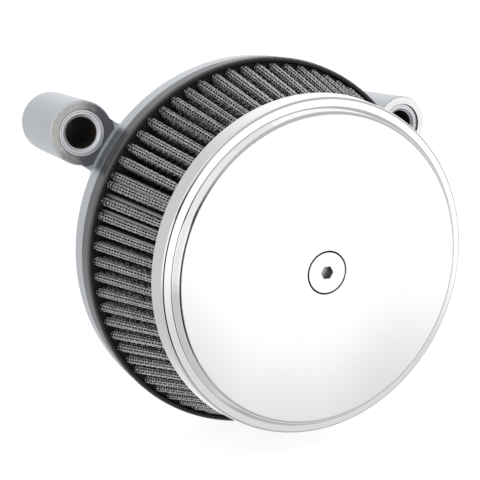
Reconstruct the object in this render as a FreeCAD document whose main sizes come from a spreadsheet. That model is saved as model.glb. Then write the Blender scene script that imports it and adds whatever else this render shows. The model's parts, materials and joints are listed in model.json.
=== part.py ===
import FreeCAD, Part
import math
import os
import Sketcher

# Motorcycle air filter: a round backing plate with two breather bosses, a tapered pleated element
# and a chromed cover held by one countersunk screw.
# Every piece is drawn in its working frame, with the filter's axis along +Z and the throttle body's
# mounting face at Z = 0, and is then turned so that the cover faces -Y and +Z is up.

SIZES = [
    # backing plate, levels counted forward from the mounting face
    ("plate_radius", 99.5),
    ("seat_level", 14.0),
    ("rim_back", 3.1),
    ("rim_inner", 92.0),
    ("rim_round", 1.0),
    ("floor_front", 10.0),
    ("floor_back", 5.0),
    ("seat_inner", 77.0),
    ("hub_radius", 50.0),
    ("throat_radius", 23.0),
    ("mouth_level", 13.0),
    ("mouth_round", 7.0),
    ("mouth_outer", 31.5),
    ("groove_inner", 27.0),
    ("groove_outer", 31.5),
    ("groove_depth", 2.4),
    # breather bosses
    ("boss_reach", 113.4),
    ("boss_angle", 32.25),
    ("boss_radius", 16.3),
    ("boss_front", 5.2),
    ("boss_length", 56.1),
    ("boss_bore", 8.05),
    ("boss_ring", 11.8),
    ("boss_ring_depth", 1.0),
    ("boss_chamfer", 1.0),
    ("bore_chamfer", 1.5),
    ("boss_seat", 11.0),
    ("boss_seat_depth", 1.8),
    ("arm_width", 27.2),
    ("arm_inner", 46.0),
    ("arm_step", 51.0),
    ("arm_step_level", 2.0),
    ("arm_end_gap", 8.0),
    ("arm_end_level", 16.0),
    ("arm_round", 1.5),
    ("wall_foot_round", 2.5),
    ("passage_radius", 2.2),
    ("passage_start", 20.0),
    ("passage_start_level", 7.6),
    ("passage_end_level", 8.0),
    # throttle body screws
    ("mount_screw_reach", 40.0),
    ("mount_hole", 3.4),
    ("mount_counterbore", 6.5),
    ("mount_counterbore_depth", 4.5),
    ("mount_screw_radius", 3.175),
    ("mount_screw_stand_out", 16.0),
    ("mount_thread_start", 0.4),
    ("mount_shank_radius", 2.9),
    ("mount_head_radius", 4.9),
    ("mount_head_height", 6.3),
    ("mount_washer_radius", 6.2),
    ("mount_washer_thickness", 1.2),
    ("mount_socket", 2.9),
    # cover bracket on three standoffs
    ("standoff_reach", 50.0),
    ("standoff_corner", 5.77),
    ("standoff_stud", 2.95),
    ("standoff_hole", 3.0),
    ("standoff_hole_depth", 6.0),
    ("lock_washer_radius", 5.6),
    ("lock_washer_thickness", 1.0),
    ("bracket_level", 64.0),
    ("bracket_thickness", 3.0),
    ("bracket_hub", 15.0),
    ("bracket_arm_half", 7.0),
    ("bracket_screw_radius", 2.5),
    ("bracket_screw_length", 9.0),
    ("bracket_head_radius", 5.2),
    ("bracket_head_height", 3.3),
    ("bracket_socket", 2.3),
    ("nut_barrel", 8.0),
    ("nut_flange", 12.5),
    ("nut_flange_thickness", 2.5),
    ("nut_top", 78.8),
    # filter element
    ("cap_front", 23.7),
    ("cap_dish", 21.0),
    ("cap_lip", 2.2),
    ("cap_round", 1.4),
    ("cap_inner", 73.8),
    ("cap_spigot", 76.6),
    ("cap_spigot_level", 11.2),
    ("pleat_count", 72.0),
    ("pleat_tip", 96.0),
    ("pleat_valley", 80.0),
    ("pleat_tip_half", 2.2),
    ("pleat_valley_half", 0.5),
    ("pleat_top_scale", 0.8375),
    ("screen_thickness", 0.35),
    ("gauze_thickness", 0.9),
    ("layer_gap", 0.05),
    ("top_cap_back", 72.3),
    ("top_cap_front", 78.9),
    ("top_cap_outer", 81.6),
    ("top_cap_inner", 58.0),
    ("top_cap_round", 1.0),
    # cover
    ("skirt_radius", 84.9),
    ("skirt_back", 71.4),
    ("skirt_corner_radius", 83.7),
    ("skirt_corner_level", 80.7),
    ("ledge_inner", 79.0),
    ("ledge_level", 81.3),
    ("dome_radius", 76.7),
    ("dome_edge_level", 84.9),
    ("dome_top_level", 85.8),
    ("cover_wall", 1.3),
    ("cover_corner_round", 1.5),
    ("cover_foot_round", 0.8),
    ("cover_dome_round", 2.2),
    ("cover_hole", 5.3),
    ("dimple_back", 78.9),
    # cover screw, M10 countersunk
    ("screw_front", 85.75),
    ("screw_head_radius", 10.0),
    ("screw_land", 0.3),
    ("screw_radius", 5.0),
    ("screw_length", 24.0),
    ("screw_socket", 3.46),
    ("screw_socket_depth", 3.2),
    ("screw_thread_gap", 0.06),
    ("washer_gap", 0.14),
    ("washer_width", 0.36),
]

doc = FreeCAD.newDocument("air_filter")
sheet = doc.addObject("Spreadsheet::Sheet", "sizes")
for row, (alias, value) in enumerate(SIZES, 1):
    sheet.set("A%d" % row, alias)
    sheet.set("B%d" % row, str(value))
    sheet.setAlias("B%d" % row, alias)
doc.recompute()

# The filter's axis points forward on the motorcycle's side, which is -Y in the finished part.
UPRIGHT = FreeCAD.Rotation(FreeCAD.Vector(1, 0, 0), 90)
AXIS = FreeCAD.Vector(0, 0, 1)
NODES = []


def amount(text):
    """Value of a sum of sheet names and numbers, such as 'plate_radius - rim_round'."""
    total = 0.0
    sign = 1.0
    for word in text.split():
        if word == "+":
            sign = 1.0
        elif word == "-":
            sign = -1.0
        elif word[0].isalpha():
            total += sign * float(sheet.get(word))
        else:
            total += sign * float(word)
    return total


def formula(text):
    """The same sum as an expression on the sheet."""
    return " ".join("sizes." + word if word[0].isalpha() else word for word in text.split())


def bind(thing, prop, text):
    thing.setExpression(prop, formula(text))


def node(thing, label):
    """Names a finished piece and stands it upright."""
    thing.Label = label
    thing.Placement = FreeCAD.Placement(FreeCAD.Vector(), UPRIGHT)
    NODES.append(thing)
    return thing


# ---------------------------------------------------------------- sketches and bodies

def new_body(name):
    return doc.addObject("PartDesign::Body", name)


def new_sketch(body, name, plane, level=None, turn=None):
    """Sketch on one of the body's own planes, raised to a level or turned about the body's Z."""
    sketch = body.newObject("Sketcher::SketchObject", name)
    support = [f for f in body.Origin.OriginFeatures if f.Role == plane][0]
    sketch.AttachmentSupport = [(support, "")]
    sketch.MapMode = "FlatFace"
    if turn:
        about = FreeCAD.Vector(0, 1, 0) if plane == "XZ_Plane" else AXIS
        turned = FreeCAD.Rotation(about, amount(turn))
        sketch.AttachmentOffset = FreeCAD.Placement(FreeCAD.Vector(), turned)
        bind(sketch, "AttachmentOffset.Rotation.Angle", turn)
    if level:
        bind(sketch, "AttachmentOffset.Base.z", level)
    return sketch


def pin(sketch, geometry, end, across, up):
    """Fixes a sketch point at two sums of sheet names."""
    for kind, text, axis in (("DistanceX", across, -2), ("DistanceY", up, -1)):
        value = amount(text)
        if abs(value) < 1e-9:
            sketch.addConstraint(Sketcher.Constraint("PointOnObject", geometry, end, axis))
        else:
            index = sketch.addConstraint(Sketcher.Constraint(kind, -1, 1, geometry, end, value))
            bind(sketch, "Constraints[%d]" % index, text)


def outline(sketch, points):
    """Closed outline through points, each given as two sums of sheet names. A point with a third
    entry, "dome", starts an arc about a centre on the sketch's vertical axis."""
    corners = [FreeCAD.Vector(amount(point[0]), amount(point[1]), 0) for point in points]
    ends = []
    for i, point in enumerate(points):
        here = corners[i]
        there = corners[(i + 1) % len(corners)]
        if point[2:] != ("dome",):
            sketch.addGeometry(Part.LineSegment(here, there), False)
            ends.append((1, 2))
            continue
        height = (here.dot(here) - there.dot(there)) / (2 * (here.y - there.y))
        centre = FreeCAD.Vector(0, height, 0)
        angles = [math.atan2(spot.y - height, spot.x) for spot in (here, there)]
        circle = Part.Circle(centre, AXIS, (here - centre).Length)
        arc = sketch.addGeometry(Part.ArcOfCircle(circle, min(angles), max(angles)), False)
        ends.append((1, 2) if angles[0] < angles[1] else (2, 1))
        sketch.addConstraint(Sketcher.Constraint("PointOnObject", arc, 3, -2))
    for i, point in enumerate(points):
        before = (i - 1) % len(points)
        sketch.addConstraint(Sketcher.Constraint("Coincident", before, ends[before][1], i, ends[i][0]))
        pin(sketch, i, ends[i][0], point[0], point[1])


def disc(sketch, across, up, radius):
    """Circle with its centre at two sums of sheet names."""
    middle = FreeCAD.Vector(amount(across), amount(up), 0)
    index = sketch.addGeometry(Part.Circle(middle, AXIS, amount(radius)), False)
    pin(sketch, index, 3, across, up)
    size = sketch.addConstraint(Sketcher.Constraint("Radius", index, amount(radius)))
    bind(sketch, "Constraints[%d]" % size, radius)


def pad(body, sketch, length, down=False, both_ways=False):
    feature = body.newObject("PartDesign::Pad", sketch.Name + "Pad")
    feature.Profile = sketch
    bind(feature, "Length", length)
    feature.Reversed = down
    feature.Midplane = both_ways
    return feature


def pocket(body, sketch, depth=None, up=False):
    """Cuts down from the sketch, or up; right through both ways where no depth is given."""
    feature = body.newObject("PartDesign::Pocket", sketch.Name + "Pocket")
    feature.Profile = sketch
    if depth:
        bind(feature, "Length", depth)
    else:
        feature.Type = "ThroughAll"
        feature.Midplane = True
    feature.Reversed = up
    return feature


def turned(body, name, points):
    """Revolution about the body's Z of an outline of (radius, level) points."""
    sketch = new_sketch(body, name, "XZ_Plane")
    outline(sketch, points)
    feature = body.newObject("PartDesign::Revolution", name + "Turned")
    feature.Profile = sketch
    feature.ReferenceAxis = (sketch, ["V_Axis"])
    feature.Angle = 360
    return feature


def round_edges(body, base, edges, radius, kind="Fillet"):
    doc.recompute()
    feature = body.newObject("PartDesign::" + kind, body.Name + kind)
    feature.Base = (base, edges)
    bind(feature, "Radius" if kind == "Fillet" else "Size", radius)
    doc.recompute()
    return feature


def circle_edges(shape, radius, level, centre=(0.0, 0.0)):
    """Names of the whole circles or arcs of a radius at a level about a centre."""
    found = []
    for i, edge in enumerate(shape.Edges, 1):
        curve = edge.Curve
        if not hasattr(curve, "Radius") or not hasattr(curve, "Center"):
            continue
        middle = curve.Center
        off = math.hypot(middle.x - centre[0], middle.y - centre[1])
        if abs(curve.Radius - radius) < 0.01 and abs(middle.z - level) < 0.01 and off < 0.01:
            found.append("Edge%d" % i)
    return found


def arm_edges(shape, crotch):
    """Names of the edges where the arms meet the rim's wall, or of their long outer edges."""
    heading = math.radians(amount("boss_angle"))
    side = amount("arm_width") / 2
    found = []
    for i, edge in enumerate(shape.Edges, 1):
        if edge.Curve.TypeId != "Part::GeomLine":
            continue
        points = [vertex.Point for vertex in edge.Vertexes]
        across = [abs(point.y * math.cos(heading) - abs(point.x) * math.sin(heading)) for point in points]
        if max(abs(value - side) for value in across) > 0.01:
            continue
        on_wall = max(abs(math.hypot(point.x, point.y) - amount("plate_radius")) for point in points) < 0.01
        sloping = abs(points[0].z - points[-1].z) > 0.01 and not on_wall
        long_edge = sloping and math.hypot(points[0].x - points[-1].x, points[0].y - points[-1].y) > 20
        if on_wall if crotch else long_edge:
            found.append("Edge%d" % i)
    return found


def polar(body, features, count, name):
    pattern = body.newObject("PartDesign::PolarPattern", name)
    pattern.Originals = features
    pattern.Axis = ([f for f in body.Origin.OriginFeatures if f.Role == "Z_Axis"][0], [""])
    pattern.Angle = 360
    pattern.Occurrences = count
    body.Tip = pattern
    return pattern


def mirrored(body, features, name):
    mirror = body.newObject("PartDesign::Mirrored", name)
    mirror.Originals = features
    mirror.MirrorPlane = ([f for f in body.Origin.OriginFeatures if f.Role == "YZ_Plane"][0], [""])
    body.Tip = mirror
    return mirror


# ---------------------------------------------------------------- plain solids

def cylinder(name, radius, bottom, top, at=(0.0, 0.0)):
    thing = doc.addObject("Part::Cylinder", name)
    bind(thing, "Radius", radius)
    bind(thing, "Height", top + "".join(flipped(bottom)))
    thing.Placement.Base = FreeCAD.Vector(at[0], at[1], 0)
    bind(thing, "Placement.Base.z", bottom)
    return thing


def flipped(text):
    """The sum with every sign changed, ready to be added to another sum."""
    words = text.split()
    sign = "-"
    for word in words:
        if word == "+":
            sign = "-"
        elif word == "-":
            sign = "+"
        else:
            yield " %s %s" % (sign, word)


def cut(name, base, tool):
    thing = doc.addObject("Part::Cut", name)
    thing.Base = base
    thing.Tool = tool
    return thing


def fuse(name, pieces):
    thing = doc.addObject("Part::MultiFuse", name)
    thing.Shapes = pieces
    return thing


def prism(name, corner, bottom, top, at=(0.0, 0.0)):
    """Six-sided bar, its radius measured to the corners."""
    thing = doc.addObject("Part::Prism", name)
    thing.Polygon = 6
    bind(thing, "Circumradius", corner)
    bind(thing, "Height", top + "".join(flipped(bottom)))
    thing.Placement.Base = FreeCAD.Vector(at[0], at[1], 0)
    bind(thing, "Placement.Base.z", bottom)
    return thing


def ring(name, inner, outer, bottom, top, at=(0.0, 0.0)):
    body = cylinder(name + "Outside", outer, bottom, top, at)
    hole = cylinder(name + "Hole", inner, bottom, top, at)
    return cut(name, body, hole)


def group(name, label, pieces):
    """Identical fasteners as one node of separate solids."""
    thing = doc.addObject("Part::Compound", name)
    thing.Links = pieces
    return node(thing, label)


def three_places(reach, first):
    """Three equally spaced points on a circle; first is the first one's angle in degrees."""
    for step in range(3):
        angle = math.radians(first + 120 * step)
        yield step, (amount(reach) * math.cos(angle), amount(reach) * math.sin(angle))


# ---------------------------------------------------------------- backing plate

MOUNT_SCREW_ANGLE = 90
STANDOFF_ANGLE = 30


def backing_plate():
    body = new_body("Plate")
    disc_feature = turned(body, "PlateProfile", [
        ("throat_radius", "0"),
        ("groove_inner", "0"),
        ("groove_inner", "groove_depth"),
        ("groove_outer", "groove_depth"),
        ("groove_outer", "0"),
        ("hub_radius", "0"),
        ("hub_radius", "floor_back"),
        ("rim_inner", "floor_back"),
        ("rim_inner", "rim_back"),
        ("plate_radius", "rim_back"),
        ("plate_radius", "seat_level"),
        ("seat_inner", "seat_level"),
        ("seat_inner", "floor_front"),
        ("mouth_outer", "floor_front"),
        ("mouth_outer", "mouth_level"),
        ("throat_radius", "mouth_level"),
    ])
    doc.recompute()
    mouth = circle_edges(disc_feature.Shape, amount("throat_radius"), amount("mouth_level"))
    rounded = round_edges(body, disc_feature, mouth, "mouth_round")
    rims = circle_edges(rounded.Shape, amount("plate_radius"), amount("seat_level"))
    round_edges(body, rounded, rims, "rim_round")

    # one breather boss and the arm behind the plate that carries its passage, then both
    boss = new_sketch(body, "BossCircle", "XY_Plane", "boss_front", "boss_angle")
    disc(boss, "boss_reach", "0", "boss_radius")
    boss_pad = pad(body, boss, "boss_length", down=True)
    arm = new_sketch(body, "ArmOutline", "XZ_Plane", None, "boss_angle")
    outline(arm, [
        ("arm_inner", "0"),
        ("arm_step", "0"),
        ("arm_step", "0 - arm_step_level"),
        ("boss_reach - arm_end_gap", "0 - arm_end_level"),
        ("boss_reach - arm_end_gap", "boss_front"),
        ("rim_inner + 3", "boss_front"),
        ("rim_inner - 2", "floor_back + 2"),
        ("arm_inner", "floor_back + 2"),
    ])
    arm_pad = pad(body, arm, "arm_width", both_ways=True)
    doc.recompute()
    tip = mirrored(body, [boss_pad, arm_pad], "BothArms")
    doc.recompute()
    foot = circle_edges(tip.Shape, amount("plate_radius"), amount("boss_front"))
    tip = round_edges(body, tip, foot + arm_edges(tip.Shape, crotch=True), "wall_foot_round")
    round_edges(body, tip, arm_edges(tip.Shape, crotch=False), "arm_round")

    # drilled and bored features of one boss, then of both
    bore = new_sketch(body, "BossBore", "XY_Plane", "boss_front", "boss_angle")
    disc(bore, "boss_reach", "0", "boss_bore")
    bore_cut = pocket(body, bore)
    step = new_sketch(body, "BossRing", "XY_Plane", "boss_front", "boss_angle")
    disc(step, "boss_reach", "0", "boss_ring")
    step_cut = pocket(body, step, "boss_ring_depth")
    seat = new_sketch(body, "BossSeat", "XY_Plane", "boss_front - boss_length", "boss_angle")
    disc(seat, "boss_reach", "0", "boss_seat")
    seat_cut = pocket(body, seat, "boss_seat_depth", up=True)
    doc.recompute()
    mirrored(body, [bore_cut, step_cut, seat_cut], "BothBores")
    doc.recompute()
    passage = body.newObject("PartDesign::SubtractiveCylinder", "Passage")
    run = amount("boss_reach - passage_start")
    drop = amount("passage_start_level + passage_end_level")
    heading = math.radians(amount("boss_angle"))
    start = FreeCAD.Vector(amount("passage_start") * math.cos(heading),
                           amount("passage_start") * math.sin(heading),
                           amount("passage_start_level"))
    way = FreeCAD.Vector(run * math.cos(heading), run * math.sin(heading), -drop)
    bind(passage, "Radius", "passage_radius")
    passage.Height = math.hypot(run, drop)
    passage.Placement = FreeCAD.Placement(start, FreeCAD.Rotation(AXIS, way))
    doc.recompute()
    mirrored(body, [passage], "BothPassages")
    doc.recompute()

    # holes for the throttle body screws and for the bracket's standoffs
    hole = new_sketch(body, "MountHole", "XY_Plane", "floor_front")
    disc(hole, "0", "mount_screw_reach", "mount_hole")
    hole_cut = pocket(body, hole)
    well = new_sketch(body, "MountWell", "XY_Plane", "floor_front")
    disc(well, "0", "mount_screw_reach", "mount_counterbore")
    well_cut = pocket(body, well, "mount_counterbore_depth")
    doc.recompute()
    polar(body, [hole_cut, well_cut], 3, "MountHoles")
    doc.recompute()
    tapped = new_sketch(body, "StandoffHole", "XY_Plane", "floor_front")
    disc(tapped, "0", "0 - standoff_reach", "standoff_hole")
    tapped_cut = pocket(body, tapped, "standoff_hole_depth")
    doc.recompute()
    tip = polar(body, [tapped_cut], 3, "StandoffHoles")
    doc.recompute()

    # chamfered bosses and bores
    spots = [(side * amount("boss_reach") * math.cos(heading), amount("boss_reach") * math.sin(heading))
             for side in (-1, 1)]
    for radius, level, size in (
            ("boss_bore", "boss_front - boss_ring_depth", "bore_chamfer"),
            ("boss_radius", "boss_front", "boss_chamfer"),
            ("boss_radius", "boss_front - boss_length", "boss_chamfer")):
        names = []
        for spot in spots:
            names += circle_edges(tip.Shape, amount(radius), amount(level), spot)
        tip = round_edges(body, tip, names, size, "Chamfer")
    body.Tip = tip
    return node(body, "backing_plate")


backing_plate()

# ---------------------------------------------------------------- seals and screws on the plate

node(ring("ThrottleSeal", "groove_inner + 0.15", "groove_outer - 0.15", "0", "groove_depth"),
     "throttle_body_seal")


def mount_screws():
    screws = []
    washers = []
    for i, at in three_places("mount_screw_reach", MOUNT_SCREW_ANGLE):
        bottom = "floor_front - mount_counterbore_depth"
        under_head = bottom + " + mount_washer_thickness"
        top = under_head + " + mount_head_height"
        thread = cylinder("MountThread%d" % i, "mount_screw_radius", "0 - mount_screw_stand_out",
                          "0 - mount_thread_start", at)
        shank = cylinder("MountShank%d" % i, "mount_shank_radius",
                         "0 - mount_thread_start - 1", under_head, at)
        head = cylinder("MountHead%d" % i, "mount_head_radius", under_head, top, at)
        socket = prism("MountSocket%d" % i, "mount_socket", top + " - 3", top, at)
        screws.append(cut("MountScrew%d" % i, fuse("MountBlank%d" % i, [thread, shank, head]), socket))
        washers.append(ring("MountWasher%d" % i, "mount_hole", "mount_washer_radius", bottom, under_head, at))
    group("MountScrews", "throttle_body_screws", screws)
    group("MountWashers", "throttle_body_washers", washers)


mount_screws()


def boss_seals():
    heading = math.radians(amount("boss_angle"))
    for name, label, side in (("SealLeft", "boss_seal_left", -1), ("SealRight", "boss_seal_right", 1)):
        seal = doc.addObject("Part::Torus", name)
        seal.setExpression("Radius2", "sizes.boss_seat_depth / 2 - 0.02")
        seal.setExpression("Radius1", "sizes.boss_seat - sizes.boss_seat_depth / 2 - 0.1")
        middle = FreeCAD.Vector(side * amount("boss_reach") * math.cos(heading),
                                amount("boss_reach") * math.sin(heading),
                                amount("boss_front - boss_length") + amount("boss_seat_depth") / 2)
        node(seal, label)
        seal.Placement = FreeCAD.Placement(UPRIGHT.multVec(middle), UPRIGHT)


boss_seals()

# ---------------------------------------------------------------- cover bracket

def standoffs():
    pillars = []
    lock_washers = []
    screws = []
    washers = []
    for i, at in three_places("standoff_reach", STANDOFF_ANGLE):
        foot = "floor_front + lock_washer_thickness"
        pillar = prism("Pillar%d" % i, "standoff_corner", foot, "bracket_level", at)
        stud = cylinder("PillarStud%d" % i, "standoff_stud",
                        "floor_front - standoff_hole_depth + 0.3", foot, at)
        well = cylinder("PillarWell%d" % i, "bracket_screw_radius + 0.05",
                        "bracket_level - 12", "bracket_level", at)
        pillars.append(cut("Standoff%d" % i, fuse("StandoffBlank%d" % i, [pillar, stud]), well))
        lock_washers.append(ring("LockWasher%d" % i, "standoff_hole + 0.2", "lock_washer_radius",
                                 "floor_front", foot, at))
        deck = "bracket_level + bracket_thickness"
        under_head = deck + " + lock_washer_thickness"
        top = under_head + " + bracket_head_height"
        shank = cylinder("BracketShank%d" % i, "bracket_screw_radius",
                         deck + " - bracket_screw_length", under_head, at)
        head = cylinder("BracketHead%d" % i, "bracket_head_radius", under_head, top, at)
        socket = prism("BracketSocket%d" % i, "bracket_socket", top + " - 2", top, at)
        screws.append(cut("BracketScrew%d" % i, fuse("BracketBlank%d" % i, [shank, head]), socket))
        washers.append(ring("BracketWasher%d" % i, "bracket_screw_radius + 0.3", "lock_washer_radius",
                            deck, under_head, at))
    group("Standoffs", "bracket_standoffs", pillars)
    group("LockWashers", "standoff_lock_washers", lock_washers)
    group("BracketScrews", "bracket_screws", screws)
    group("BracketWashers", "bracket_screw_washers", washers)


standoffs()


def cover_bracket():
    body = new_body("Bracket")
    hub = new_sketch(body, "BracketHub", "XY_Plane", "bracket_level")
    disc(hub, "0", "0", "bracket_hub")
    pad(body, hub, "bracket_thickness")
    arm = new_sketch(body, "BracketArm", "XY_Plane", "bracket_level")
    outline(arm, [
        ("0 - bracket_arm_half", "0"),
        ("0 - bracket_arm_half", "0 - standoff_reach"),
        ("bracket_arm_half", "0 - standoff_reach"),
        ("bracket_arm_half", "0"),
    ])
    arm_pad = pad(body, arm, "bracket_thickness")
    end = new_sketch(body, "BracketEnd", "XY_Plane", "bracket_level")
    disc(end, "0", "0 - standoff_reach", "bracket_arm_half")
    end_pad = pad(body, end, "bracket_thickness")
    doc.recompute()
    polar(body, [arm_pad, end_pad], 3, "BracketArms")
    doc.recompute()
    middle = new_sketch(body, "BracketBore", "XY_Plane", "bracket_level")
    disc(middle, "0", "0", "nut_barrel + 0.05")
    pocket(body, middle)
    hole = new_sketch(body, "BracketHole", "XY_Plane", "bracket_level")
    disc(hole, "0", "0 - standoff_reach", "bracket_screw_radius + 0.3")
    hole_cut = pocket(body, hole)
    doc.recompute()
    polar(body, [hole_cut], 3, "BracketHoles")
    doc.recompute()
    node(body, "cover_bracket")


cover_bracket()

nut_body = new_body("CoverNut")
turned(nut_body, "NutProfile", [
    ("screw_radius + screw_thread_gap", "bracket_level - nut_flange_thickness"),
    ("nut_flange", "bracket_level - nut_flange_thickness"),
    ("nut_flange", "bracket_level"),
    ("nut_barrel", "bracket_level"),
    ("nut_barrel", "nut_top"),
    ("screw_radius + screw_thread_gap", "nut_top"),
])
node(nut_body, "cover_nut")

# ---------------------------------------------------------------- filter element

cap_body = new_body("BaseCap")
cap_turned = turned(cap_body, "BaseCapProfile", [
    ("cap_inner", "cap_spigot_level"),
    ("cap_spigot", "cap_spigot_level"),
    ("cap_spigot", "seat_level"),
    ("plate_radius", "seat_level"),
    ("plate_radius", "cap_front"),
    ("plate_radius - cap_lip", "cap_front"),
    ("pleat_tip + 0.5", "cap_dish"),
    ("cap_inner", "cap_dish"),
])
doc.recompute()
cap_edges = circle_edges(cap_turned.Shape, amount("plate_radius"), amount("cap_front"))
cap_body.Tip = round_edges(cap_body, cap_turned, cap_edges, "cap_round")
node(cap_body, "base_cap")

top_body = new_body("TopCap")
top_turned = turned(top_body, "TopCapProfile", [
    ("top_cap_inner", "top_cap_back"),
    ("top_cap_outer", "top_cap_back"),
    ("top_cap_outer", "top_cap_front"),
    ("top_cap_inner", "top_cap_front"),
])
doc.recompute()
top_edges = circle_edges(top_turned.Shape, amount("top_cap_outer"), amount("top_cap_front"))
top_edges += circle_edges(top_turned.Shape, amount("top_cap_inner"), amount("top_cap_front"))
top_body.Tip = round_edges(top_body, top_turned, top_edges, "top_cap_round")
node(top_body, "top_cap")


def pleat_loop(depth):
    """Folded outline at the element's base: two tip corners and two valley corners for each pleat.
    depth is how far the outline lies beneath the outermost surface."""
    count = int(amount("pleat_count"))
    pitch = 2 * math.pi / count
    tip = amount("pleat_tip") - depth
    valley = amount("pleat_valley") - depth
    tip_half = (amount("pleat_tip_half") - depth) / tip
    valley_half = (amount("pleat_valley_half") + depth) / valley
    corners = []
    for i in range(count):
        centre = i * pitch
        for angle, radius in ((centre - tip_half, tip), (centre + tip_half, tip),
                              (centre + pitch / 2 - valley_half, valley),
                              (centre + pitch / 2 + valley_half, valley)):
            corners.append(FreeCAD.Vector(radius * math.cos(angle), radius * math.sin(angle), 0))
    return corners


def pleated_layer(name, label, outside, inside):
    """Pleated sheet between two depths, narrowing towards the cover; its flanks stay flat."""
    bottom = FreeCAD.Vector(0, 0, amount("cap_dish"))
    top = FreeCAD.Vector(0, 0, amount("top_cap_back"))
    scale = amount("pleat_top_scale")
    blocks = []
    for depth in (outside, inside):
        loop = pleat_loop(depth)
        loop.append(loop[0])
        low = Part.makePolygon([point + bottom for point in loop])
        high = Part.makePolygon([point * scale + top for point in loop])
        blocks.append(Part.makeLoft([low, high], True, True))
    thing = doc.addObject("Part::Feature", name)
    thing.Shape = blocks[0].cut(blocks[1])
    return node(thing, label)


screen = amount("screen_thickness")
gap = amount("layer_gap")
gauze_top = screen + gap
gauze_bottom = gauze_top + amount("gauze_thickness")
pleated_layer("OuterScreen", "outer_wire_screen", 0.0, screen)
pleated_layer("Gauze", "pleated_gauze", gauze_top, gauze_bottom)
pleated_layer("InnerScreen", "inner_wire_screen", gauze_bottom + gap, gauze_bottom + gap + screen)

# ---------------------------------------------------------------- cover and its screw

def cover():
    """Pressed shell: tapered skirt, ledge, riser and shallow dome, with a dimple for the screw."""
    slope_gap = "washer_gap + washer_gap + washer_width"
    body = new_body("Cover")
    cone_start = "screw_front - screw_land - screw_head_radius"
    points = [
        ("skirt_radius - cover_wall", "skirt_back"),
        ("skirt_radius", "skirt_back"),
        ("skirt_corner_radius", "skirt_corner_level"),
        ("ledge_inner", "ledge_level"),
        ("dome_radius", "dome_edge_level", "dome"),
        ("screw_head_radius + " + slope_gap + " + screw_land", "dome_top_level"),
        ("cover_hole", cone_start + " + cover_hole - " + slope_gap.replace("+", "-")),
        ("cover_hole", "dimple_back"),
        ("cover_hole + 0.7", "dimple_back"),
        ("screw_head_radius + " + slope_gap + " + screw_land + cover_wall",
         "dome_top_level - cover_wall", "dome"),
        ("dome_radius - cover_wall", "dome_edge_level - cover_wall"),
        ("ledge_inner - cover_wall", "ledge_level - cover_wall"),
        ("skirt_corner_radius - cover_wall", "skirt_corner_level - cover_wall"),
    ]
    feature = turned(body, "CoverProfile", points)
    doc.recompute()
    for radius, level, size in (
            ("skirt_corner_radius", "skirt_corner_level", "cover_corner_round"),
            ("ledge_inner", "ledge_level", "cover_foot_round"),
            ("dome_radius", "dome_edge_level", "cover_dome_round")):
        names = circle_edges(feature.Shape, amount(radius), amount(level))
        feature = round_edges(body, feature, names, size)
    body.Tip = feature
    node(body, "cover")


cover()


def cover_screw():
    body = new_body("CoverScrew")
    back_of_head = "screw_front - screw_land - screw_head_radius + screw_radius"
    shape = turned(body, "ScrewProfile", [
        ("0", "screw_front - screw_length"),
        ("screw_radius - 0.8", "screw_front - screw_length"),
        ("screw_radius", "screw_front - screw_length + 0.8"),
        ("screw_radius", back_of_head),
        ("screw_head_radius", "screw_front - screw_land"),
        ("screw_head_radius", "screw_front"),
        ("0", "screw_front"),
    ])
    doc.recompute()
    socket = new_sketch(body, "ScrewSocket", "XY_Plane", "screw_front")
    corner = amount("screw_socket")
    for i in range(6):
        here = FreeCAD.Vector(corner * math.cos(math.pi * i / 3), corner * math.sin(math.pi * i / 3), 0)
        there = FreeCAD.Vector(corner * math.cos(math.pi * (i + 1) / 3),
                               corner * math.sin(math.pi * (i + 1) / 3), 0)
        socket.addGeometry(Part.LineSegment(here, there), False)
    round_trip = socket.addGeometry(Part.Circle(FreeCAD.Vector(), AXIS, corner), True)
    socket.addConstraint(Sketcher.Constraint("Coincident", round_trip, 3, -1, 1))
    size = socket.addConstraint(Sketcher.Constraint("Radius", round_trip, corner))
    bind(socket, "Constraints[%d]" % size, "screw_socket")
    for i in range(6):
        socket.addConstraint(Sketcher.Constraint("Coincident", i, 2, (i + 1) % 6, 1))
        socket.addConstraint(Sketcher.Constraint("PointOnObject", i, 1, round_trip))
        if i:
            socket.addConstraint(Sketcher.Constraint("Equal", 0, i))
    socket.addConstraint(Sketcher.Constraint("PointOnObject", 0, 1, -1))
    pocket(body, socket, "screw_socket_depth")
    doc.recompute()
    node(body, "cover_screw")


cover_screw()

washer_body = new_body("ScrewWasher")
cone_low = "screw_front - screw_land - screw_head_radius"
turned(washer_body, "WasherProfile", [
    ("screw_radius + 0.9", cone_low + " + screw_radius + 0.9 - washer_gap"),
    ("screw_radius + 0.9", cone_low + " + screw_radius + 0.9 - washer_gap - washer_width"),
    ("screw_head_radius", cone_low + " + screw_head_radius - washer_gap - washer_width"),
    ("screw_head_radius", cone_low + " + screw_head_radius - washer_gap"),
])
node(washer_body, "screw_seal_washer")

# ---------------------------------------------------------------- checks and files

doc.recompute()
for thing in doc.Objects:
    if "Invalid" in thing.State or "Error" in thing.State:
        raise RuntimeError("%s failed: %s" % (thing.Label, thing.State))
os.makedirs("parts", exist_ok=True)
for thing in NODES:
    shape = thing.Shape
    if shape.isNull() or not shape.isValid():
        raise RuntimeError("%s has no valid shape" % thing.Label)
    if not shape.Solids:
        raise RuntimeError("%s has no solid" % thing.Label)
for thing in NODES:
    thing.Shape.exportStep("parts/%s.step" % thing.Label)
    box = thing.Shape.BoundBox
    print("%-24s solids %d volume %.0f  x %.2f..%.2f  y %.2f..%.2f  z %.2f..%.2f" % (
        thing.Label, len(thing.Shape.Solids), thing.Shape.Volume,
        box.XMin, box.XMax, box.YMin, box.YMax, box.ZMin, box.ZMax))
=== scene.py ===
import json
import math

import bpy
import numpy as np
from mathutils import Matrix, Vector


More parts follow.
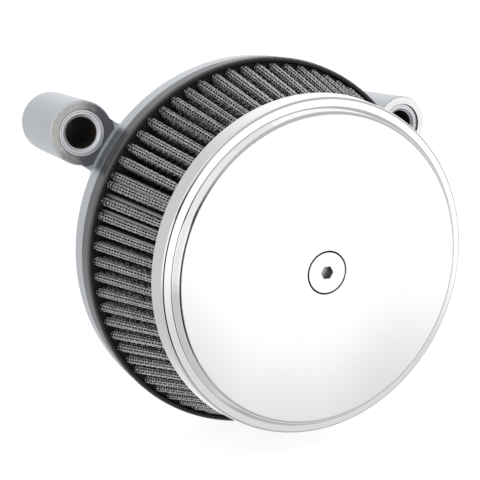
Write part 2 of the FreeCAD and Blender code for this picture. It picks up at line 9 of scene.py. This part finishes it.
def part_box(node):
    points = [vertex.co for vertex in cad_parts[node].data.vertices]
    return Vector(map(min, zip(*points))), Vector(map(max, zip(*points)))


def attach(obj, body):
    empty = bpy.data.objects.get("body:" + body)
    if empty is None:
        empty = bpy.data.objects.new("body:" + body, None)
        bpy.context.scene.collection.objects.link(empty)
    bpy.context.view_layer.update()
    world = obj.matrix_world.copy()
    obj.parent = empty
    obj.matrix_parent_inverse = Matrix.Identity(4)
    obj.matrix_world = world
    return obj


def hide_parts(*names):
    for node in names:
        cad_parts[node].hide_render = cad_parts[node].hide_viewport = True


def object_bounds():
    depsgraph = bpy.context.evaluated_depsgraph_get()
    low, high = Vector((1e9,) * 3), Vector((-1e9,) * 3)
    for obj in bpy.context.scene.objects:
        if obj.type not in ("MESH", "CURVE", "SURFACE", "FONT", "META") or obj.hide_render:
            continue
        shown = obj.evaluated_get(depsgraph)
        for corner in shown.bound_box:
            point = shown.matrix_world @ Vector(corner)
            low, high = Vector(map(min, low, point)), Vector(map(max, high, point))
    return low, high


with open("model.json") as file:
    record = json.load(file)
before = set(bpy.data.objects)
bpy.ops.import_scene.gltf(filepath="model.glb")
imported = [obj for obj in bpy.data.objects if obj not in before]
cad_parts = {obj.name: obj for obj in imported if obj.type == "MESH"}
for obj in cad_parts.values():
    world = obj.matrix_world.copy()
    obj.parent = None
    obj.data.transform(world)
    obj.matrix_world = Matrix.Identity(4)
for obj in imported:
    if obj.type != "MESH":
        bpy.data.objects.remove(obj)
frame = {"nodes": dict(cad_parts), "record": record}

# The filter's axis is Y: the cover faces -Y and the plate's mounting face is y = 0. Lengths are in metres,
# except in the pleats' section.
cad_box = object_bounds()
MM = 0.001
TO_DEGREES = 180 / math.pi
# how far the pleats narrow from the base cap to the top cap
TOP_SCALE = 0.8375


# ---------------------------------------------------------------- shader helpers
class Nodes:
    """Short calls that add nodes to one tree. A number is set on its socket; an output is linked to it."""

    def __init__(self, tree):
        self.tree = tree

    def join(self, value, socket):
        if isinstance(value, bpy.types.NodeSocket):
            self.tree.links.new(value, socket)
        else:
            socket.default_value = value

    def add(self, kind, inputs=None, **settings):
        made = self.tree.nodes.new(kind)
        for key, value in settings.items():
            setattr(made, key, value)
        for key, value in (inputs or {}).items():
            self.join(value, made.inputs[key])
        return made

    def math(self, operation, a, b=0.0):
        return self.add("ShaderNodeMath", {0: a, 1: b}, operation=operation).outputs[0]

    def times(self, first, *others):
        for other in others:
            first = self.math("MULTIPLY", first, other)
        return first

    def plus(self, a, b):
        return self.math("ADD", a, b)

    def minus(self, a, b):
        return self.math("SUBTRACT", a, b)

    def larger(self, a, b):
        return self.math("MAXIMUM", a, b)

    def spread(self, value, low, high, to_low=0.0, to_high=1.0, kind="LINEAR"):
        """value from low..high carried to to_low..to_high, held at the ends."""
        made = self.add("ShaderNodeMapRange", {"Value": value, "From Min": low, "From Max": high,
                                               "To Min": to_low, "To Max": to_high}, interpolation_type=kind)
        return made.outputs["Result"]

    def ramp(self, value, low, high, to_low, to_high):
        """spread with soft ends."""
        return self.spread(value, low, high, to_low, to_high, "SMOOTHSTEP")


class Shader(Nodes):
    """A new material with its Principled shader."""

    def __init__(self, name, colour, metallic, roughness):
        self.material = bpy.data.materials.new(name)
        self.material.use_nodes = True
        super().__init__(self.material.node_tree)
        self.main = self.tree.nodes["Principled BSDF"]
        self.main.inputs["Base Color"].default_value = (*colour, 1)
        self.main.inputs["Metallic"].default_value = metallic
        self.main.inputs["Roughness"].default_value = roughness
        self.place = self.add("ShaderNodeTexCoord").outputs["Object"]

    def feed(self, name, value):
        self.join(value, self.main.inputs[name])

    def noise(self, scale, detail=3.0, rough=0.55):
        return self.add("ShaderNodeTexNoise", {"Vector": self.place, "Scale": scale, "Detail": detail,
                                               "Roughness": rough}).outputs["Fac"]

    def mix(self, share, a, b):
        made = self.add("ShaderNodeMix", data_type="RGBA")
        self.join(share, made.inputs[0])
        for socket, colour in ((6, a), (7, b)):
            self.join((*colour, 1) if isinstance(colour, tuple) else colour, made.inputs[socket])
        return made.outputs[2]

    def bump(self, height, distance, strength):
        made = self.add("ShaderNodeBump", {"Height": height, "Distance": distance, "Strength": strength})
        self.feed("Normal", made.outputs["Normal"])

    def parts(self):
        """The object-space x, y and z."""
        return self.add("ShaderNodeSeparateXYZ", {"Vector": self.place}).outputs

    def radius(self, x0=0.0, z0=0.0, fold=False):
        """Distance from an axis along Y through x0, z0; with fold the axis is on both sides of x = 0."""
        x, _, z = self.parts()
        if fold:
            x = self.math("ABSOLUTE", x)
        dx = self.minus(x, x0)
        dz = self.minus(z, z0)
        return self.math("SQRT", self.plus(self.times(dx, dx), self.times(dz, dz)))


record = frame["record"]
mounts = {m["name"]: m for m in record["mounts"]}
boss_x = mounts["breather_bore_right"]["pos_m"][0]
boss_z = mounts["breather_bore_right"]["pos_m"][2]
bore_r = mounts["breather_bore_right"]["dims"]["r_mm"] * MM
# on a breather boss: its face's level, the radii of face, step, groove and passage, and the passage's end
BOSS_FRONT = -5.2 * MM
FACE_R = 17.0 * MM
STEP_R = 11.8 * MM
GROOVE_R = 10.5 * MM
PASSAGE_R = 15.5 * MM
PASSAGE_END = 40.0 * MM


def cast_aluminium():
    """Satin casting: grey skin with a fine grain, machined faces on the bosses painted lit and shaded,
    painted shade on the rim past the bosses and as dark lines on the steps, and dark painted shade inside the
    bores.
    """
    s = Shader("cast_aluminium", (0.62, 0.635, 0.65), 0.85, 0.42)
    x, y, z = s.parts()
    reach = s.radius(boss_x, boss_z, fold=True)
    grain = s.noise(2600.0, 4.0, 0.6)
    patches = s.noise(90.0, 3.0, 0.5)
    turned = s.noise(1900.0, 3.0, 0.7)
    skin = s.mix(patches, (0.59, 0.62, 0.66), (0.68, 0.705, 0.745))
    skin = s.mix(s.spread(grain, 0.55, 0.72), skin, (0.50, 0.525, 0.56))
    # the boss's rough machined face round the step
    face = s.times(s.spread(y, BOSS_FRONT + 0.6 * MM, BOSS_FRONT + 0.3 * MM),
                   s.spread(reach, STEP_R - 0.1 * MM, STEP_R + 0.1 * MM),
                   s.spread(reach, FACE_R, FACE_R - 0.4 * MM),
                   s.spread(y, BOSS_FRONT - 0.5 * MM, BOSS_FRONT - 0.2 * MM))
    rough = s.spread(turned, 0.35, 0.65)
    # the face's painted lit and shaded tones, each with the cutter's rough texture
    lit_face_paint = s.mix(rough, (0.38, 0.37, 0.355), (0.66, 0.65, 0.63))
    shaded_face_paint = s.mix(rough, (0.055, 0.057, 0.065), (0.16, 0.168, 0.185))
    # painted light and shade: the left face is painted lit on the side away from the filter's middle and
    # shaded on the other side, and the right face is painted as a bright highlight
    lean = s.plus(s.times(s.minus(x, -boss_x), -0.8), s.times(s.minus(z, boss_z), 0.25))
    lean = s.plus(lean, s.times(s.minus(s.noise(260.0, 2.0, 0.5), 0.5), 12.0 * MM))
    left_face_painted_light = s.mix(s.spread(lean, -3.0 * MM, 6.0 * MM), shaded_face_paint, lit_face_paint)
    right_face_painted_highlight = (0.93, 0.93, 0.925)
    colour = s.mix(face, skin, s.mix(s.spread(x, -1.0 * MM, 1.0 * MM), left_face_painted_light, right_face_painted_highlight))
    # the rim where it passes a boss: painted shade from the boss, streaked where the cutter ran
    boss_shade_on_rim = s.times(s.spread(y, BOSS_FRONT - 0.2 * MM, BOSS_FRONT - 0.5 * MM),
                      s.spread(reach, FACE_R + 2.5 * MM, FACE_R + 1.0 * MM))
    streaked = s.mix(s.spread(turned, 0.5, 0.62), (0.27, 0.29, 0.325), (0.56, 0.59, 0.64))
    colour = s.mix(boss_shade_on_rim, colour, streaked)
    # the bright step and chamfer, with painted shade as dark lines in the step's corner and at a fine groove
    step = s.times(s.spread(reach, STEP_R - 0.05 * MM, STEP_R - 0.15 * MM),
                   s.spread(y, BOSS_FRONT + 2.7 * MM, BOSS_FRONT + 2.3 * MM))
    colour = s.mix(step, colour, (0.86, 0.88, 0.91))
    from_corner = s.math("ABSOLUTE", s.minus(reach, STEP_R + 0.02 * MM))
    from_groove = s.math("ABSOLUTE", s.minus(reach, GROOVE_R))
    step_and_groove_shade = s.larger(s.spread(from_corner, 0.3 * MM, 0.15 * MM),
                   s.spread(from_groove, 0.2 * MM, 0.1 * MM, 0.0, 0.7))
    colour = s.mix(s.times(step_and_groove_shade, s.spread(y, 1.0 * MM, 0.0)), colour, (0.10, 0.10, 0.11))
    # painted shade inside the bore and in the passage that leaves it: dark, dull and not metal
    passage_shade = s.times(s.spread(reach, PASSAGE_R + 0.1 * MM, PASSAGE_R - 0.1 * MM),
                      s.spread(y, PASSAGE_END + 0.2 * MM, PASSAGE_END))
    bore = s.spread(reach, bore_r + 0.25 * MM, bore_r + 0.08 * MM)
    inside = s.times(s.larger(passage_shade, bore), s.spread(y, BOSS_FRONT + 2.0 * MM, BOSS_FRONT + 2.8 * MM))
    s.feed("Base Color", s.mix(inside, colour, (0.030, 0.022, 0.016)))
    gloss = s.plus(s.spread(patches, 0.3, 0.7, 0.36, 0.46), s.times(face, 0.15))
    s.feed("Roughness", s.plus(gloss, s.times(inside, 0.45)))
    s.feed("Metallic", s.times(s.minus(0.85, s.times(face, 0.35)), s.minus(1.0, inside)))
    s.feed("Specular IOR Level", s.spread(inside, 0.0, 1.0, 0.5, 0.1))
    s.bump(grain, 0.06 * MM, 0.5)
    return s.material


def chrome():
    """Mirror chrome with a few soft smears, dull on the inside of the shell, and with painted shade, dark and
    dull, in the screw's dimple.
    """
    s = Shader("chrome", (0.93, 0.93, 0.94), 1.0, 0.03)
    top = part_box("cover")[0].y
    reach = s.radius()
    # painted shade round the screw's head: the dimple dark and dull
    dimple_shade = s.spread(reach, 10.9 * MM, 10.75 * MM)
    inside = s.times(s.spread(reach, 75.6 * MM, 75.4 * MM),
                     s.spread(s.parts()[1], top + 0.95 * MM, top + 1.15 * MM))
    smears = s.spread(s.noise(38.0, 4.0, 0.6), 0.45, 0.75, 0.018, 0.055)
    s.feed("Roughness", s.plus(smears, s.times(s.larger(inside, dimple_shade), 0.36)))
    bright = s.mix(s.noise(12.0, 2.0, 0.5), (0.92, 0.925, 0.935), (0.95, 0.95, 0.955))
    s.feed("Base Color", s.mix(dimple_shade, s.mix(inside, bright, (0.42, 0.42, 0.43)), (0.05, 0.05, 0.05)))
    return s.material


def polished_screw():
    """Bright screw head, with the socket's inside left dark by oil and shade."""
    s = Shader("polished_screw", (0.86, 0.86, 0.87), 1.0, 0.06)
    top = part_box("cover_screw")[0].y
    socket = s.times(s.spread(s.radius(), 3.62 * MM, 3.5 * MM),
                     s.spread(s.parts()[1], top + 0.15 * MM, top + 0.5 * MM))
    s.feed("Base Color", s.mix(socket, (0.9, 0.9, 0.905), (0.44, 0.42, 0.40)))
    s.feed("Roughness", s.plus(s.spread(s.noise(300.0), 0.3, 0.7, 0.04, 0.09), s.times(socket, 0.3)))
    return s.material


def zinc_steel():
    """Zinc plate: cool grey with faint blue and straw patches and a satin grain."""
    s = Shader("zinc_steel", (0.66, 0.67, 0.69), 1.0, 0.32)
    patches = s.noise(160.0, 3.0, 0.5)
    grain = s.noise(2400.0, 2.0, 0.6)
    s.feed("Base Color", s.mix(s.spread(patches, 0.3, 0.7), (0.60, 0.62, 0.66), (0.72, 0.71, 0.68)))
    s.feed("Roughness", s.spread(grain, 0.3, 0.7, 0.24, 0.38))
    s.bump(grain, 0.02 * MM, 0.4)
    return s.material


def black_urethane():
    """Moulded urethane: glossy side, matt near-black faces with a fine pale speckle."""
    s = Shader("black_urethane", (0.03, 0.03, 0.033), 0.0, 0.4)
    patches = s.noise(60.0, 3.0, 0.5)
    low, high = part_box("base_cap")
    side = s.times(s.spread(s.radius(), high.x - 1.3 * MM, high.x - 0.3 * MM),
                   s.spread(s.parts()[1], low.y - 1.0 * MM, low.y - 0.5 * MM))
    dark = s.mix(patches, (0.010, 0.010, 0.012), (0.018, 0.018, 0.021))
    flecks = s.times(s.spread(s.noise(1500.0, 2.0, 0.6), 0.60, 0.72), s.minus(1.0, side))
    dark = s.mix(flecks, dark, (0.07, 0.07, 0.075))
    s.feed("Base Color", s.mix(side, dark, (0.055, 0.056, 0.060)))
    s.feed("Roughness", s.minus(s.spread(patches, 0.3, 0.7, 0.55, 0.68), s.times(side, 0.3)))
    s.feed("Specular IOR Level", s.spread(side, 0.0, 1.0, 0.25, 0.9))
    s.bump(s.noise(1100.0, 3.0, 0.6), 0.05 * MM, 0.35)
    return s.material


def seal_rubber():
    """Smooth rubber with a little dust."""
    s = Shader("seal_rubber", (0.018, 0.018, 0.019), 0.0, 0.45)
    dust = s.noise(700.0, 3.0, 0.6)
    s.feed("Base Color", s.mix(s.spread(dust, 0.55, 0.75), (0.014, 0.014, 0.015), (0.05, 0.05, 0.052)))
    s.feed("Roughness", s.spread(dust, 0.3, 0.7, 0.38, 0.55))
    s.bump(dust, 0.03 * MM, 0.4)
    return s.material


def black_gauze():
    """Oiled cotton gauze, seen through the wire: near black with a small weave."""
    s = Shader("black_gauze", (0.012, 0.012, 0.014), 0.0, 0.75)
    cells = s.add("ShaderNodeTexVoronoi", {"Vector": s.place, "Scale": 1700.0}, feature="F1")
    weave = cells.outputs["Distance"]
    patches = s.noise(140.0, 3.0, 0.5)
    pale = s.times(s.spread(weave, 0.25, 0.6), patches)
    s.feed("Base Color", s.mix(pale, (0.004, 0.004, 0.005), (0.012, 0.012, 0.014)))
    s.feed("Roughness", s.spread(patches, 0.3, 0.7, 0.7, 0.85))
    s.feed("Specular IOR Level", 0.2)
    s.bump(weave, 0.1 * MM, 0.6)
    return s.material


def screen_wire():
    """Coated wire: light grey on the pleats' tips, with painted shade darkening it towards the valleys."""
    s = Shader("screen_wire", (0.6, 0.6, 0.61), 0.6, 0.34)
    wear = s.noise(420.0, 3.0, 0.6)
    top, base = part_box("pleated_gauze")
    taper = s.spread(s.parts()[1], base.y, top.y, 1.0, TOP_SCALE)
    depth = s.math("DIVIDE", s.radius(), taper)
    # painted shade: the wire darkens from the pleats' tips towards the valleys
    tip_light_and_valley_shade = s.spread(depth, base.x - 7.0 * MM, base.x - 0.6 * MM, 0.16, 1.0)
    # down the flanks, painted glints: a fine scatter of points on the wires' crests, standing in for where
    # they catch the light
    painted_glints = s.spread(s.noise(1100.0, 1.0, 0.5), 0.47, 0.55, 0.03, 1.5)
    flank = s.spread(depth, base.x - 0.6 * MM, base.x - 1.6 * MM)
    tip_light_and_valley_shade = s.times(tip_light_and_valley_shade, s.plus(1.0, s.times(flank, s.minus(painted_glints, 1.0))))
    clean = s.mix(s.spread(wear, 0.35, 0.7), (0.40, 0.40, 0.41), (0.74, 0.74, 0.75))
    s.feed("Base Color", s.mix(tip_light_and_valley_shade, (0.012, 0.012, 0.013), clean))
    s.feed("Roughness", s.spread(wear, 0.3, 0.7, 0.28, 0.4))
    s.feed("Metallic", s.times(tip_light_and_valley_shade, 0.6))
    s.feed("Specular IOR Level", s.spread(tip_light_and_valley_shade, 0.0, 1.0, 0.1, 0.5))
    return s.material


def wire_skin():
    """The inner screen's wire cloth as a pattern on its folded sheet: a lattice of wires over dark gauze."""
    s = Shader("wire_skin", (0.2, 0.2, 0.2), 0.4, 0.5)
    wires_a_metre = 785.0
    wires_a_radian = 60.0
    x, y, z = s.parts()
    turn = s.math("ARCTAN2", x, z)
    rows = s.math("ABSOLUTE", s.math("SINE", s.times(y, wires_a_metre, math.pi)))
    columns = s.math("ABSOLUTE", s.math("SINE", s.times(turn, wires_a_radian, math.pi)))
    wires = s.larger(rows, columns)
    lattice = s.spread(wires, 0.86, 0.94)
    s.feed("Base Color", s.mix(lattice, (0.012, 0.012, 0.014), (0.42, 0.42, 0.43)))
    s.feed("Roughness", s.spread(s.noise(300.0), 0.3, 0.7, 0.4, 0.55))
    s.feed("Metallic", s.times(lattice, 0.7))
    s.bump(wires, 0.2 * MM, 0.7)
    return s.material


materials = {
    "cast_aluminium": cast_aluminium(),
    "chrome": chrome(),
    "polished_screw": polished_screw(),
    "zinc_steel": zinc_steel(),
    "black_urethane": black_urethane(),
    "seal_rubber": seal_rubber(),
    "black_gauze": black_gauze(),
    "screen_wire": screen_wire(),
}
for part in record["subparts"]:
    thing = frame["nodes"][part["node"]]
    thing.data.materials.clear()
    thing.data.materials.append(materials[part["material_slot"]])
frame["nodes"]["inner_wire_screen"].data.materials[0] = wire_skin()


# ---------------------------------------------------------------- pleats
# In mm and degrees. A level is a distance from the plate's mounting face towards the cover.
gauze_top, gauze_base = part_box("pleated_gauze")
low_level = -gauze_base.y / MM
high_level = -gauze_top.y / MM
tip_r = gauze_base.x / MM
VALLEY_R = 80.0
# folds all round, and the angle from one to the next away from the seam
PLEATS = 73
PITCH = 5.0
# half a fold's width at its tip, half a valley's, and the height of the valley's round foot
TIP_HALF = 2.25
VALLEY_HALF = 0.45
FOOT = 1.0
# the fold at the seam, how far it and the folds beside it move, in pitches, and how many folds share that
SEAM = 32
SEAM_SHIFT = 0.6
BEFORE_SHIFT = 0.2
BEFORE_FOLDS = 8
AFTER_SHIFT = 0.46
AFTER_FOLDS = 3
# the folds are rounded off and pinched over this height at the base cap, and stand out a little there
NOSE = 1.4
NOSE_PINCH = 0.4
SPREAD = 1.3
# small differences between folds: moved sideways, leaning and in depth
rng = np.random.default_rng(7)
fold_shift = rng.normal(0.0, 0.12, PLEATS)
fold_lean = rng.normal(0.0, 0.16, PLEATS)
fold_depth = rng.normal(0.0, 0.12, PLEATS)
# the gauze's outer face and the wires' middle, behind the outermost face
GAUZE_INSET = 0.42
GAUZE_THICKNESS = 0.5
WIRE_INSET = 0.32
# wires: spacing between them along the filter and round the fold's outline, radius, sides, and weave
ALONG_PITCH = 2.2
ACROSS_PITCH = 1.6
WIRE_R = 0.3
WIRE_SIDES = 4
WEAVE = WIRE_R * 0.8


def fold_section(inset, count_tip, count_flank):
    """One fold's outline as (across, radius) at the base, from valley to valley: straight flanks and a round
    tip, all drawn inset by a distance behind the outermost face."""
    half_tip = TIP_HALF - inset
    centre = tip_r - TIP_HALF
    valley = VALLEY_R - inset + FOOT
    half_foot = math.radians(PITCH / 2) * VALLEY_R - VALLEY_HALF - inset
    steps = [i / count_flank for i in range(count_flank + 1)]
    points = [(-(half_foot + (half_tip - half_foot) * t), valley + (centre - valley) * t) for t in steps[:-1]]
    for i in range(count_tip + 1):
        angle = math.pi * (1 - i / count_tip)
        points.append((half_tip * math.cos(angle), centre + half_tip * math.sin(angle)))
    points += [(half_tip + (half_foot - half_tip) * t, centre + (valley - centre) * t) for t in steps[1:]]
    return points


def fold_angle(fold):
    """Degrees round the filter. The sheet's ends meet at the seam, where two folds are squeezed together and
    the ones after them spread out again."""
    if fold < SEAM:
        return PITCH * (fold - BEFORE_SHIFT * math.exp((fold - SEAM) / BEFORE_FOLDS))
    if fold == SEAM:
        return PITCH * (fold - SEAM_SHIFT)
    return PITCH * (fold - 1 + AFTER_SHIFT * math.exp((SEAM + 1 - fold) / AFTER_FOLDS))


def fold_gap(fold, side):
    """The distance to the next fold on one side, as a share of the usual pitch."""
    beside = fold + side
    turn = fold_angle(beside % PLEATS) + 360 * (beside // PLEATS)
    return abs(turn - fold_angle(fold)) / PITCH


def fold_point(fold, across, radius, level):
    """The row-frame point, in metres, of a fold's outline at a level, with the sheet's taper and leanings."""
    share = (level - low_level) / (high_level - low_level)
    scale = 1 + (TOP_SCALE - 1) * share
    nose = max(0.0, 1 - (level - low_level) / NOSE)
    depth = (radius - VALLEY_R) / (tip_r - VALLEY_R)
    rounding = NOSE * (1 - math.sqrt(max(0.0, 1 - nose * nose)))
    r = (radius + depth * (fold_depth[fold] - rounding)) * scale + SPREAD * (1 - share)
    lean = fold_shift[fold] + fold_lean[fold] * (share - 0.5) * 2
    gap = fold_gap(fold, 1 if across > 0 else -1)
    pinch = 1 - NOSE_PINCH * nose * max(depth, 0.0)
    squeeze = 1 + (gap - 1) * min(max(1 - depth, 0.0), 1.0)
    aside = across * pinch * squeeze * scale + lean * max(depth, 0.0)
    angle = math.radians(fold_angle(fold)) + aside / r
    return (r * math.cos(angle) * MM, -level * MM, r * math.sin(angle) * MM)


def mesh_piece(name, points, faces, slot):
    """A smooth mesh on the element's body, with the slot's material."""
    mesh = bpy.data.meshes.new(name)
    mesh.from_pydata(points, [], faces)
    mesh.validate()
    mesh.materials.append(materials[slot])
    mesh.shade_smooth()
    piece = bpy.data.objects.new(name, mesh)
    bpy.context.scene.collection.objects.link(piece)
    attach(piece, "element")
    return piece


def gauze():
    """The folded gauze as one sheet, with closer rings where it is rounded off at the base cap."""
    section = fold_section(GAUZE_INSET, count_tip=8, count_flank=4)
    shares = (0, 0.007, 0.02, 0.036, 0.06, 0.2, 0.4, 0.6, 0.8, 1)
    points = []
    for share in shares:
        level = low_level + (high_level - low_level) * share
        for fold in range(PLEATS):
            for across, radius in section:
                points.append(fold_point(fold, across, radius, level))
    ring = PLEATS * len(section)
    faces = []
    for start in range(0, ring * (len(shares) - 1), ring):
        for j in range(ring):
            k = (j + 1) % ring
            faces.append((start + j, start + k, start + ring + k, start + ring + j))
    piece = mesh_piece("gauze_folds", points, faces, "black_gauze")
    thick = piece.modifiers.new("thickness", "SOLIDIFY")
    thick.thickness = GAUZE_THICKNESS * MM
    thick.offset = -1
    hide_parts("pleated_gauze")


def unit(rows):
    """Each row scaled to length 1."""
    return rows / np.linalg.norm(rows, axis=1)[:, None]


def even_points(section, step):
    """Points along an outline at equal steps, with the outward normal at each."""
    flat = np.array(section)
    run = np.concatenate([[0], np.cumsum(np.linalg.norm(np.diff(flat, axis=0), axis=1))])
    at = np.linspace(0, run[-1], int(round(run[-1] / step)) + 1)
    xy = np.stack([np.interp(at, run, flat[:, i]) for i in (0, 1)], axis=1)
    way = unit(np.gradient(xy, axis=0))
    return xy, np.stack([-way[:, 1], way[:, 0]], axis=1)


def add_tube(path, points, faces):
    """Add a thin tube along a path of points to a mesh's lists."""
    line = np.array(path)
    way = unit(np.gradient(line, axis=0))
    # sideways from the filter's axis, or from the radius where a wire runs along the axis
    near_axis = np.array([0.0, 1.0, 0.013])
    side = np.cross(way, near_axis)
    along_axis = np.linalg.norm(side, axis=1) < 0.3
    side[along_axis] = np.cross(way[along_axis], line[along_axis] * np.array([1.0, 0.0, 1.0]))
    side = unit(side)
    base = len(points)
    turns = [2 * math.pi * (k + 0.5) / WIRE_SIDES for k in range(WIRE_SIDES)]
    for p, u, v in zip(line, side, np.cross(way, side)):
        for turn in turns:
            points.append(tuple(p + WIRE_R * MM * (math.cos(turn) * u + math.sin(turn) * v)))
    for i in range(base, len(points) - WIRE_SIDES, WIRE_SIDES):
        for k in range(WIRE_SIDES):
            m = (k + 1) % WIRE_SIDES
            faces.append((i + k, i + m, i + WIRE_SIDES + m, i + WIRE_SIDES + k))


def wire_screen():
    """Woven wires over the folds: each runs over and under the ones that it crosses. Four pieces go round."""
    xy, normal = even_points(fold_section(WIRE_INSET, count_tip=12, count_flank=6), ACROSS_PITCH)
    slope = math.hypot(high_level - low_level, tip_r * (1 - TOP_SCALE))
    rows = int(round(slope / ALONG_PITCH))
    levels = [low_level + (high_level - low_level) * (i + 0.5) / rows for i in range(rows)]
    columns = len(xy)

    def crossing(fold, row, column, sign):
        """Where a wire passes a crossing, lifted out or in along the sheet's normal."""
        up = sign * (WEAVE if (row + column + fold * columns) % 2 else -WEAVE)
        across, radius = xy[column] + normal[column] * up
        return fold_point(fold, across, radius, levels[row])

    for quarter in range(4):
        points = []
        faces = []
        folds = range(quarter * PLEATS // 4, (quarter + 1) * PLEATS // 4)
        for row in range(rows):
            add_tube([crossing(f, row, c, 1) for f in folds for c in range(columns)], points, faces)
        for fold in folds:
            for column in range(columns):
                add_tube([crossing(fold, row, column, -1) for row in range(rows)], points, faces)
        piece = mesh_piece("wire_screen_%d" % (quarter + 1), points, faces, "screen_wire")
        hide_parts("outer_wire_screen")


gauze()
wire_screen()


# ---------------------------------------------------------------- floor, light and camera
def stage_floor():
    """A wide white floor that glows, so that only a faint shadow shows on it, and that mirrors don't see."""
    mesh = bpy.data.meshes.new("floor")
    half = 4.0
    corners = [(-half, -half, 0), (half, -half, 0), (half, half, 0), (-half, half, 0)]
    mesh.from_pydata(corners, [], [(0, 1, 2, 3)])
    floor = bpy.data.objects.new("floor", mesh)
    floor.location = (0, 0, cad_box[0].z)
    bpy.context.scene.collection.objects.link(floor)
    s = Shader("floor", (0.3, 0.3, 0.3), 0.0, 0.9)
    s.feed("Specular IOR Level", 0.0)
    s.feed("Emission Color", (1, 1, 1, 1))
    s.feed("Emission Strength", 0.88)
    mesh.materials.append(s.material)
    floor.visible_glossy = False


def studio_world():
    """White all round for the camera and for matt surfaces. What mirrors see is a studio of about that
    brightness, with a darker table below, a dim ring round the lamp that the cover faces, and a wall behind
    that is grey on the left. Angles are in degrees: turn to the right of -Y, rise above the horizon."""
    world = bpy.data.worlds.new("studio")
    bpy.context.scene.world = world
    world.use_nodes = True
    n = Nodes(world.node_tree)
    direction = n.add("ShaderNodeTexCoord").outputs["Generated"]
    x, y, z = n.add("ShaderNodeSeparateXYZ", {"Vector": direction}).outputs
    turn = n.times(n.math("ARCTAN2", x, n.times(y, -1.0)), TO_DEGREES)
    rise = n.times(n.math("ARCSINE", z), TO_DEGREES)
    # the lit front: level and overhead it is full, and it fades to the table, a little lower in the middle
    from_middle = n.math("ABSOLUTE", n.minus(turn, 29.5))
    lower = n.plus(n.ramp(from_middle, 2.0, 9.0, 3.8, 0.0), n.ramp(turn, 15.0, 25.0, -2.4, 0.0))
    front = n.ramp(n.plus(rise, lower), -25.0, -12.0, 0.74, 1.13)
    front = n.times(front, n.ramp(turn, -75.0, -55.0, 0.8, 1.0))
    # the dim ring round the lamp, narrower overhead and near black on the left
    lamp_turn = math.radians(32.0)
    lamp_rise = math.radians(-14.3)
    lamp = (math.sin(lamp_turn) * math.cos(lamp_rise), -math.cos(lamp_turn) * math.cos(lamp_rise),
            math.sin(lamp_rise))
    facing = n.add("ShaderNodeVectorMath", {0: direction, 1: lamp}, operation="DOT_PRODUCT")
    off = n.times(n.math("ARCCOSINE", facing.outputs["Value"]), TO_DEGREES)
    overhead = n.ramp(rise, 4.0, 24.0, 0.0, 1.0)
    outer = n.minus(off, n.times(overhead, 28.0))
    ring = n.times(n.ramp(off, 26.0, 32.0, 0.0, 1.0), n.ramp(outer, 62.0, 80.0, 1.0, 0.0))
    on_left = n.times(n.ramp(turn, -8.0, 4.0, 0.96, 0.0), n.ramp(rise, -60.0, -30.0, 0.2, 1.0),
                      n.ramp(rise, 14.0, 36.0, 1.0, 0.0))
    dimming = n.larger(n.ramp(rise, -30.0, -5.0, 0.4, 0.55), n.larger(on_left, n.times(overhead, 0.46)))
    front = n.times(front, n.minus(1.0, n.times(ring, dimming)))
    # the wall behind, by the direction's x so that it has no seam straight behind
    wall = n.times(n.ramp(x, -0.45, 0.35, 0.63, 1.05), n.ramp(rise, -45.0, -10.0, 0.9, 1.0))
    at_back = n.ramp(y, -0.1, 0.35, 0.0, 1.0)
    level = n.plus(n.times(front, n.minus(1.0, at_back)), n.times(wall, at_back))
    rays = n.add("ShaderNodeLightPath").outputs
    plain = n.larger(rays["Is Camera Ray"], rays["Is Diffuse Ray"])
    level = n.plus(n.times(level, n.minus(1.0, plain)), plain)
    background = world.node_tree.nodes["Background"]
    n.join((1, 1, 1, 1), background.inputs["Color"])
    n.join(level, background.inputs["Strength"])


def key_light():
    """A soft square lamp above on the right. Its own outline isn't seen in the chrome."""
    data = bpy.data.lights.new("key", "AREA")
    data.shape = "RECTANGLE"
    data.size = 0.6
    data.size_y = 0.6
    data.energy = 6.0
    key = bpy.data.objects.new("key", data)
    key.location = (0.5, -0.5, 0.9)
    key.rotation_mode = "QUATERNION"
    key.rotation_quaternion = (Vector((0, -0.04, 0)) - key.location).to_track_quat("-Z", "Y")
    key.visible_glossy = False
    bpy.context.scene.collection.objects.link(key)


def look():
    """The camera, aimed at a point beside the cover's middle, half a metre away and rolled a little."""
    target = Vector((-26.40, -44.0, 9.28)) * MM
    distance = 0.5
    azimuth, elevation, roll = (math.radians(v) for v in (-26.75, 12.61, 1.58))
    back = Vector((math.sin(azimuth) * math.cos(elevation), -math.cos(azimuth) * math.cos(elevation),
                   math.sin(elevation)))
    level_right = (-back).cross(Vector((0, 0, 1))).normalized()
    level_up = level_right.cross(-back)
    right = math.cos(roll) * level_right + math.sin(roll) * level_up
    up = math.cos(roll) * level_up - math.sin(roll) * level_right
    camera = bpy.data.objects.new("camera", bpy.data.cameras.new("camera"))
    camera.data.sensor_width = 36.0
    camera.data.lens = 74.41
    camera.data.clip_start = 0.01
    turned = Matrix((right, up, back)).transposed().to_4x4()
    camera.matrix_world = Matrix.Translation(target + back * distance) @ turned
    bpy.context.scene.collection.objects.link(camera)
    bpy.context.scene.camera = camera


stage_floor()
studio_world()
key_light()
look()
bpy.context.scene.view_settings.view_transform = "Standard"
